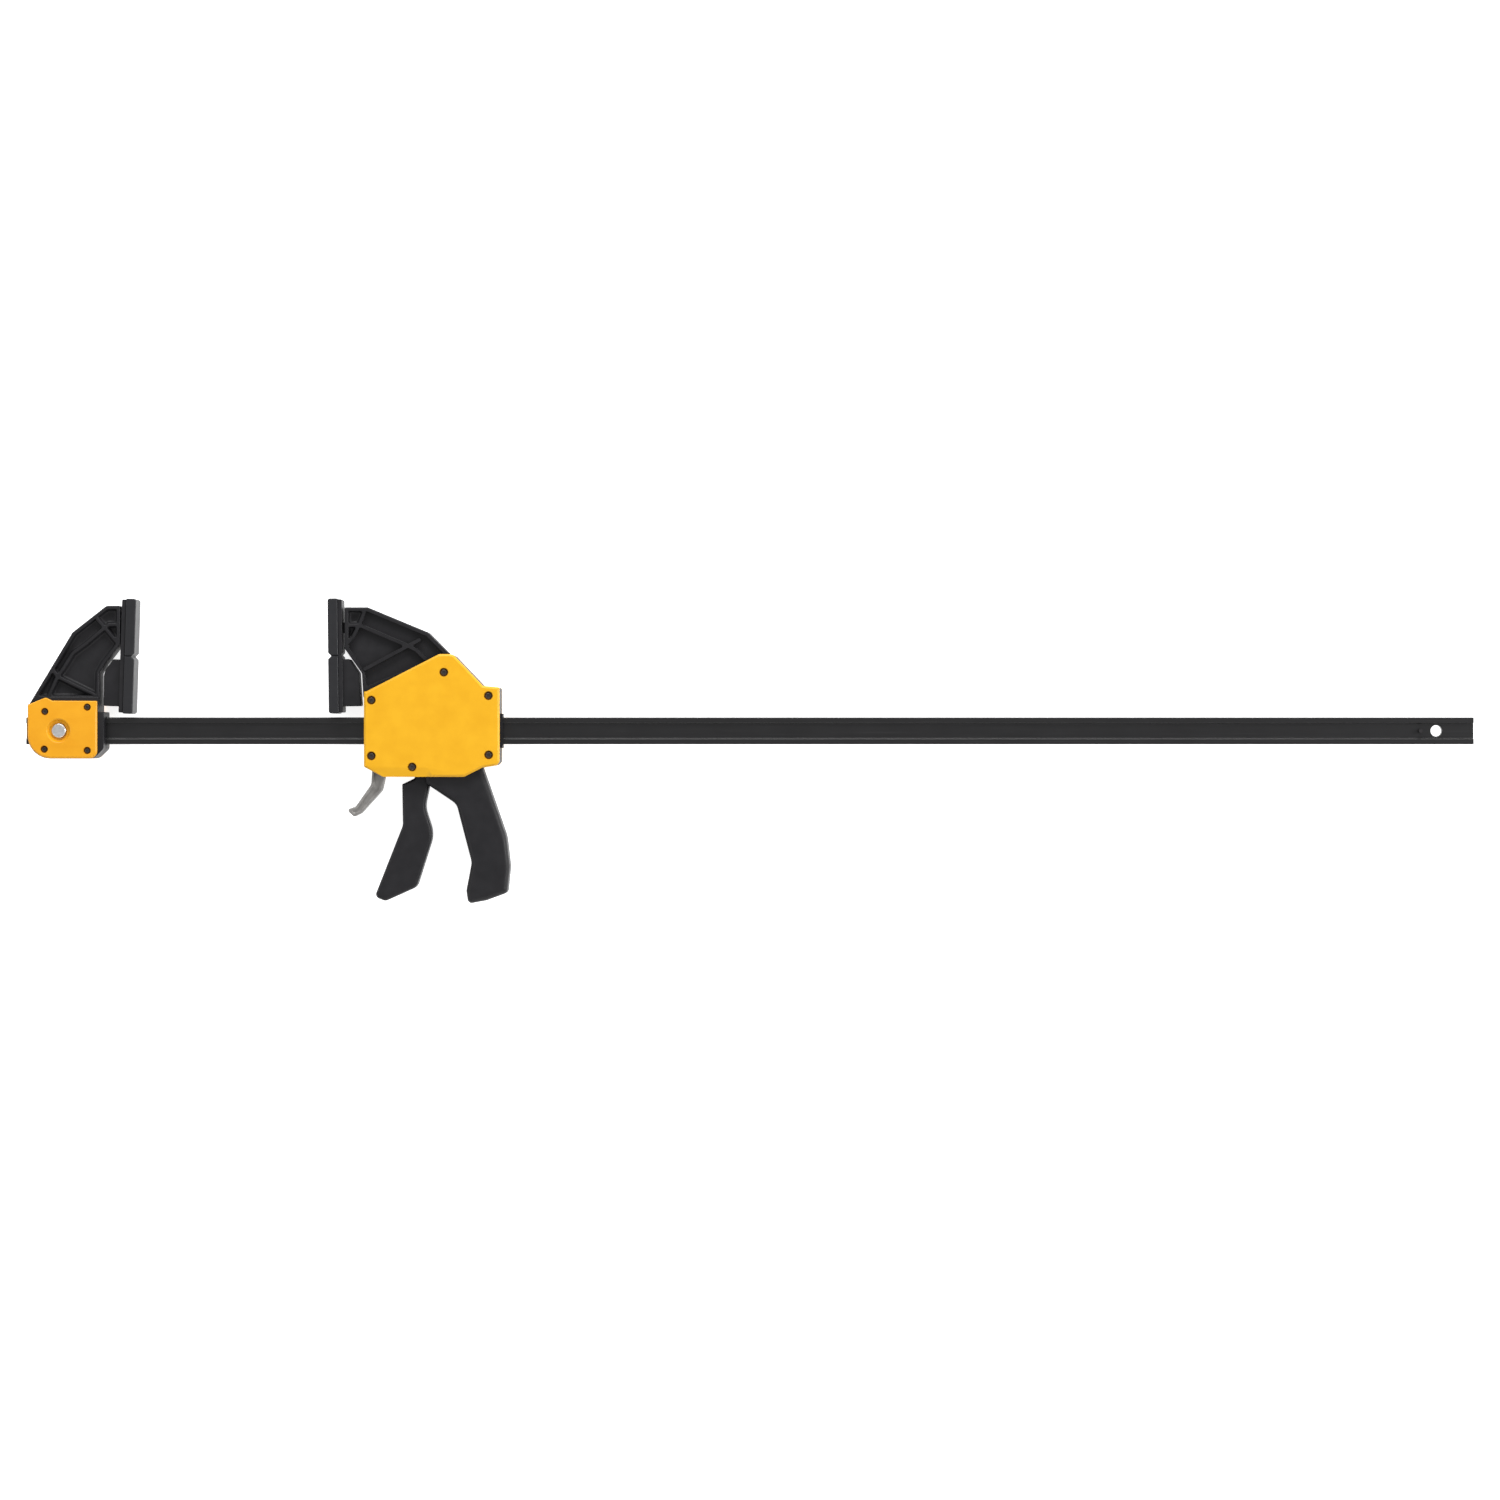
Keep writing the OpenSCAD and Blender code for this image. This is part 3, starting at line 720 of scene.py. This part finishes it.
def fixed_cover(front):
    """Its upper part falls away from a crease; the front one has a dish round the button."""
    top = COVER_TOP
    peg = centre_mm("lock_peg")
    screw_hole_r, bevel, crease_y, slope = 3.0, 1.3, BAR_Y + 10.5, 0.035
    extra = []
    if front:
        hole_r, boss_r, under = 6.1, 11.3, MID + 14.2
        floor = top - 3.0
        dish = [(boss_r - hole_r, COVER_BASE), (boss_r - hole_r, under), (0, under)]
        dish += [(0, floor - 0.2), (0.2, floor), (1.3, floor), (1.9, floor + 0.3)]
        dish += [(2.5, floor + 1.2), (2.9, top - 0.8), (3.3, top - 0.3), (3.9, top)]
        extra = [(circle(peg, hole_r, 72), dish)]
    bm = cover_solid("fixed_jaw_front_cover", screw_hole_r, bevel, extra)
    crease = (peg.x, crease_y, top)
    low = (peg.x - 30, crease_y, top - 2)
    high = (peg.x + 40, crease_y + 20, top + 1)
    return sloped_off(bm, low, high, [(crease, (0, slope, 1))])


def housing_cover():
    """Its lower left part falls away from a crease in two shallow slopes."""
    node, top = "housing_front_cover", COVER_TOP
    screw_hole_r, bevel = 3.6, 1.65
    middle_x, crease_y = centre_mm(node).x, BAR_Y - 30.5
    bm = cover_solid(node, screw_hole_r, bevel)
    down = ((middle_x, crease_y, top), (0, -0.19, 1))
    sideways = ((middle_x - 3, crease_y, top), (-0.15, -0.1, 1))
    low = (middle_x - 60, BAR_Y - 45, top - 3)
    high = (middle_x + 10, crease_y, top + 1)
    return sloped_off(bm, low, high, [down, sideways])


def build_covers():
    jaw, housing = (painted_shade_jaw_yellow, "bar_and_fixed_jaw"), (housing_yellow, "sliding_jaw")
    sets = [
        ("fixed_jaw_front_cover", fixed_cover(True), *jaw),
        ("fixed_jaw_back_cover", mirrored(fixed_cover(False)), *jaw),
        ("housing_front_cover", housing_cover(), *housing),
        ("housing_back_cover", mirrored(housing_cover()), *housing),
    ]
    for node, bm, finish, body in sets:
        piece(bm, node + "_moulding", finish, body, [node], 30)


def screw(at, head_r, shank_r):
    """Dark head whose sloping rim surrounds a small flat crown with a hexagon socket."""
    seat = COVER_BASE + SCREW_LEDGE
    top, tip = seat + 1.2, MID + 10.2
    rim_width = head_r - 0.56 * head_r
    levels = [(0.15, seat), (0, seat + 0.15), (0, top - 0.85), (0.2, top - 0.62)]
    levels += [(rim_width - 0.2, top - 0.08), (rim_width + 0.1, top)]
    socket_r, socket_depth = head_r * 0.36, 0.7
    socket = circle(at, socket_r, 6)
    path = [(0, top - socket_depth), (0, top - 0.1), (0.1, top)]
    head = solid(circle(at, head_r, 36), levels, top_pockets=[(socket, path)])
    shank = solid(circle(at, shank_r, 24), [(0.5, tip), (0, tip + 0.7), (0, seat + 0.2)])
    return merged(head, shank)


def build_screws():
    """Heads and shanks, on the front and on the back."""
    sets = [
        ("fixed_jaw_screws", "fixed_jaw_front_cover", 2.6, 1.4, "bar_and_fixed_jaw"),
        ("housing_screws", "housing_front_cover", 3.2, 1.7, "sliding_jaw"),
    ]
    for node, cover, head_r, shank_r, body in sets:
        parts = []
        for at in screw_spots(cover):
            parts.append(screw(at, head_r, shank_r))
            parts.append(mirrored(screw(at, head_r, shank_r)))
        piece(merged(*parts), node + "_turned", screw_steel, body, [node], 25)


# ---- bodies and arms ----


def body_frame(node):
    """The thick frame between the covers: a slab with soft rims, hollow as the CAD is."""
    inside, shy, edge_round = 0.03, 0.02, 0.6
    outline = inset(loops_at(node, COVER_BASE - 1)[0], inside)
    levels = rounded_levels(MID - BODY_Z + shy, COVER_BASE - shy, edge_round, 3)
    slab = solid(outline, levels)
    return combined(slab, cad_copy(node), "INTERSECT")


def recess(outline, face, away):
    """A recess: drafted wall, filleted floor and soft rim, as wide as its corners allow."""
    depth = ARM_Z - ARM_FLOOR
    corner_r = 1.3
    points = softened(outline, corner_r)
    for share in (1.0, 0.8, 0.6, 0.45, 0.3, 0.15):
        round_top, fillet, draft = (width * share for width in (0.8, 2.2, 0.5))
        path = []
        for d, h in rim(fillet, 5)[::-1]:
            path.append((-draft - d, face - away * (depth - h)))
        for d, h in rim(round_top, 4):
            path.append((d, face - away * h))
        if all(sound(points, inset(points, -g), g) for g, _ in path):
            break
    return points, path


def arm(node, at, towards, pin, end_sign):
    """Ribbed arm with soft edges, cut out where the pad's lug sits."""

    def on_side(loop):
        return all(
            (p[0] - at[0]) * towards[0] + (p[1] - at[1]) * towards[1] > 0 for p in loop
        )

    in_recess, edge_round, pin_hole_r, smallest = 8, 1.2, 2.05, 16
    outlines = loops_at(node, MID + in_recess)
    outer = refined(clip(outlines[0], at, towards), 1)
    tops = [p for p in outlines[1:] if on_side(p) and area(p) > smallest]
    outlines = loops_at(node, MID - in_recess)
    bottoms = [p for p in outlines[1:] if on_side(p) and area(p) > smallest]
    low, high = MID - ARM_Z, MID + ARM_Z
    pin_path = [(0, low + 0.8), (0, low + 0.2), (0.25, low)]
    pin_hole = (circle(pin, pin_hole_r, 32), pin_path)
    body = solid(
        outer,
        rounded_levels(low, high, edge_round, 4),
        top_pockets=[recess(p, high, 1) for p in tops],
        bottom_pockets=[recess(p, low, -1) for p in bottoms] + [pin_hole],
    )
    behind, ahead, half_y, half_z = 5.0, 15.0, 5.2, 3.9
    reach = sorted((pin.x - end_sign * behind, pin.x + end_sign * ahead))
    socket = box(
        (reach[0], pin.y - half_y, MID - half_z), (reach[1], pin.y + half_y, MID + half_z)
    )
    return combined(body, socket, "DIFFERENCE")


def build_fixed_jaw():
    pin = centre_mm("fixed_pad_pin")
    node, body, arm_root = "fixed_jaw_body", "bar_and_fixed_jaw", 19.6
    piece(body_frame(node), "fixed_jaw_frame", black, body, [node])
    raised = arm(node, (0, BAR_Y + arm_root), (0, 1), pin, 1)
    piece(raised, "fixed_jaw_arm", black, body)


def slope_line(cover):
    """A point inside the housing's long sloping edge, and the edge's upward normal."""
    least_rise, inside = 10, 2.5
    outline = loops_at(cover, COVER_BASE + 1)[0]
    edges = [
        (math.dist(a, b), a, b)
        for a, b in zip(outline, outline[1:] + outline[:1])
        if min(a[1], b[1]) > BAR_Y and abs(a[1] - b[1]) > least_rise
    ]
    _, a, b = max(edges)
    way = direction(a, b)
    up = (-way[1], way[0]) if way[0] > 0 else (way[1], -way[0])
    return (a[0] - up[0] * inside, a[1] - up[1] * inside), up


def build_sliding_jaw():
    pin = centre_mm("moving_pad_pin")
    node, body = "moving_jaw_body", "sliding_jaw"
    piece(body_frame(node), "sliding_jaw_frame", black, body, [node])
    at, up = slope_line("housing_front_cover")
    piece(arm(node, at, up, pin, -1), "sliding_jaw_arm", black, body)
    build_handle(node)


def build_handle(node):
    """The handle's root is carried up into the housing, where its rounded end is hidden.

    The slot in the root lets the trigger swing back into the handle."""
    trigger = centre_mm("trigger_pin")
    root_x, root_y = trigger.x + 6, BAR_Y - 33.5
    rise, slope, edge_round = 11.5, 0.35, 4.5
    outline = loops_at(node, MID + HANDLE_Z - 1)[0]
    outline = clip(clip(outline, (root_x, root_y), (0, -1)), (root_x, root_y), (1, 0))
    for k, (x, y) in enumerate(outline):
        if y > root_y - 0.1:
            shift = 0 if x < root_x + 1 else slope * rise
            outline[k] = (x - shift, y + rise)
    levels = rounded_levels(MID - HANDLE_Z, MID + HANDLE_Z, edge_round, 7)
    grip = solid(refined(outline, 2), levels)
    slot_left, slot_right, slot_low = trigger.x - 8.5, trigger.x + 26.6, BAR_Y - 58.4
    slot_high, half_slot = root_y + rise + 2, 10.4
    slot = box((slot_left, slot_low, MID - half_slot), (slot_right, slot_high, MID + half_slot))
    grip = combined(grip, slot, "DIFFERENCE")
    piece(grip, "rear_handle", black, "sliding_jaw")


# ---- pads ----


def cushion(face):
    """Soft face with a V-groove along its front and along its back."""
    edge_round, past, half_groove = 1.0, 5, 0.75
    low, high = box_mm(face)
    outline = refined(loops_at(face, MID)[0], 1)
    soft = solid(outline, rounded_levels(low.z, high.z, edge_round, 4))
    groove_y = centre_mm(face).y
    for z in (low.z, high.z):
        wedge = box(
            (low.x - past, -half_groove, -half_groove), (high.x + past, half_groove, half_groove)
        )
        for v in wedge.verts:
            y, h = v.co.y, v.co.z
            v.co.y = (y - h) * math.sqrt(0.5) + groove_y * MM
            v.co.z = (y + h) * math.sqrt(0.5) + z * MM
        soft = combined(soft, wedge, "DIFFERENCE")
    return soft


def carrier(shoe):
    """Hard shoe in three nested layers: the plate, the heel and the lug with its pin hole."""
    layers = [(11.5, 12.5, 0.5), (7.0, 10.0, 0.7), (0.0, 3.5, 0.3)]
    lug, nesting = 2, 0.04
    parts = []
    for k, (cut_z, half, r) in enumerate(layers):
        loops = loops_at(shoe, MID + cut_z)
        low, high = MID - half, MID + half
        bores = []
        if k == lug:
            bores = [(loops[1], [(r, low), (0, low + r), (0, high - r), (r, high)])]
        parts.append(solid(inset(loops[0], nesting * k), rounded_levels(low, high, r, 4), bores))
    return merged(*parts)


def build_pad(side, body):
    face, shoe = side + "_pad_face", side + "_pad_shoe"
    piece(cushion(face), side + "_pad_cushion", rubber, body, [face], 34)
    piece(carrier(shoe), side + "_pad_carrier", black, body, [shoe], 34)


# ---- trigger, lever and button ----


def build_trigger():
    """Rounded blade below, and the CAD node's cheeks inside the housing."""
    node, half, edge_round = "trigger", 9.5, 2.8
    blade_top, cheeks_low = BAR_Y - 13.8, BAR_Y - 15.2
    outline = clip(loops_at(node, MID)[0], (0, blade_top), (0, -1))
    levels = rounded_levels(MID - half, MID + half, edge_round, 6)
    blade = solid(refined(outline, 2), levels)
    cheeks = kept_side(cad_copy(node), (0, cheeks_low, 0), (0, 1, 0))
    both = merged(blade, cheeks)
    piece(both, "trigger_blade", black, "trigger_lever", [node])


def build_lever():
    """Finger tab with a sunk web on both sides, and the CAD node's plate in the housing."""
    node, half, edge_round, border, corner_r = "release_lever", 8.6, 0.9, 2.3, 0.8
    plate_low, tab_top, cut_z = BAR_Y - 30, BAR_Y - 26.5, 8.3
    plate = kept_side(cad_copy(node), (0, plate_low, 0), (0, 1, 0))
    outline = loops_at(node, MID + cut_z)[0]
    outline = refined(clip(outline, (0, tab_top), (0, -1)), 2)
    low, high = MID - half, MID + half
    web = softened(tidy(inset(outline, border)), corner_r)
    hollow = [(-0.5, high - 1.3), (-0.15, high - 1.15), (0, high - 0.8)]
    hollow += [(0, high - 0.2), (0.3, high)]
    under = [(g, 2 * MID - z) for g, z in hollow]
    tab = solid(
        outline,
        rounded_levels(low, high, edge_round, 4),
        top_pockets=[(web, hollow)],
        bottom_pockets=[(web, under)],
    )
    both = merged(plate, tab)
    piece(both, "release_blade", lever_metal, "brake", [node])


def build_button():
    """Chamfered cap with a slightly sunk face, on the CAD node's yoke."""
    node, radius = "quick_change_button", 5.8
    cap_low, yoke_high = MID + 13.4, MID + 13.7
    top = box_mm(node)[1].z
    disc = circle(centre_mm("lock_peg"), radius, 72)
    levels = [(0, cap_low), (0, top - 0.55), (0.06, top - 0.45), (0.42, top - 0.07)]
    levels += [(0.55, top), (1.0, top), (1.2, top - 0.1), (4.6, top - 0.16)]
    yoke = kept_side(cad_copy(node), (0, 0, yoke_high), (0, 0, -1))
    both = merged(solid(disc, levels), yoke)
    piece(both, "push_button", button_steel, "quick_change", [node], 25)


# ---- springs and the small CAD nodes ----


def build_springs():
    """Each coil is a copy of its CAD node's wire on its body; the rows also list its joint,
    axis, fixed end and the share keep of its length, which nothing here uses.
    """
    springs = [
        ("drive_spring", "sliding_jaw", "drive_stroke", (1, 0, 0), "high", 0.75),
        ("brake_spring", "sliding_jaw", "release_tilt", (1, 0, 0), "high", 0.44),
        ("button_spring", "bar_and_fixed_jaw", "button_press", (0, 0, 1), "low", 0.19),
    ]
    for node, body, joint, axis, fixed_end, keep in springs:
        wire = cad_copy(node)
        coil = piece(wire, node + "_coil", spring_steel, body, [node], 60)
        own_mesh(coil)


def dress(node, material):
    """A finish for a CAD node that is shown as it is."""
    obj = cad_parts[node]
    obj.data.materials.clear()
    obj.data.materials.append(material)


def build_small_parts():
    dress("bar_stop_pin", dark_steel)
    for node in ("lock_peg", "trigger_pin", "fixed_pad_pin", "moving_pad_pin", "drive_plates"):
        dress(node, pin_steel)
    for node in ("front_bar_guide", "rear_bar_guide"):
        dress(node, black)


build_bar()
build_covers()
build_screws()
build_fixed_jaw()
build_sliding_jaw()
build_pad("fixed", "fixed_pad")
build_pad("moving", "moving_pad")
build_trigger()
build_lever()
build_button()
build_springs()
build_small_parts()


# ---- floor, light and camera ----


def floor_material():
    """Pale sheet that glows a little, so that the shadow on it stays faint."""
    f = Finish("pale_floor", specular=0.1)
    mottle = f.noise(120, 3, 0.5)
    grain = f.noise(4, 2, 0.5)
    colour = f.mix(mottle, (0.9, 0.9, 0.9), (0.92, 0.92, 0.92))
    f.tree.links.new(colour, f.shader.inputs["Emission Color"])
    f.shader.inputs["Emission Strength"].default_value = 0.9
    f.bump(grain, 0.02, 0.05)
    return f.done(colour, f.spread(mottle, 0.3, 0.7, 0.7, 0.8))


def build_stage():
    half_size, below = 30, 0.0002
    bm = bmesh.new()
    bmesh.ops.create_grid(bm, x_segments=1, y_segments=1, size=half_size)
    floor = as_object(bm, "floor")
    floor.location.z = -below
    floor.data.materials.append(floor_material())


def soft_light(name, at, aim, size, power):
    """Rectangular lamp, in metres and watts."""
    data = bpy.data.lights.new(name, "AREA")
    data.shape, data.size, data.size_y = "RECTANGLE", size[0], size[1]
    data.energy = power
    light = bpy.data.objects.new(name, data)
    light.location = at
    light.rotation_mode = "QUATERNION"
    light.rotation_quaternion = (Vector(aim) - Vector(at)).to_track_quat("-Z", "Y")
    bpy.context.scene.collection.objects.link(light)


def build_light():
    """Even white surroundings with four soft lamps, the strongest above the top of the view."""
    ambient = 0.52
    world = bpy.data.worlds.new("studio")
    world.use_nodes = True
    background = world.node_tree.nodes["Background"]
    background.inputs["Color"].default_value = (1.0, 1.0, 1.0, 1.0)
    background.inputs["Strength"].default_value = ambient
    bpy.context.scene.world = world
    soft_light("top", (-0.2, 2.6, 1.5), (0, 0, 0), (3.0, 0.8), 90)
    soft_light("right", (2.6, 0.5, 1.5), (-0.3, 0, 0), (1.4, 0.8), 62)
    soft_light("left", (-2.9, -0.3, 1.9), (0, 0, 0), (1.6, 0.7), 14)
    soft_light("near", (0.3, -2.6, 1.9), (0, 0, 0), (2.4, 1.0), 18)
    bpy.context.scene.view_settings.view_transform = "Standard"


def build_camera():
    """Straight above the clamp, wide enough for the whole bar; lengths in metres."""
    distance, field, up = 3.45, 1.2225, 0.0004
    data = bpy.data.cameras.new("camera")
    data.sensor_width = 36.0
    data.lens = data.sensor_width * distance / field
    camera = bpy.data.objects.new("camera", data)
    camera.location = (0.0, up, MID * MM + distance)
    bpy.context.scene.collection.objects.link(camera)
    bpy.context.scene.camera = camera


build_stage()
build_light()
build_camera()
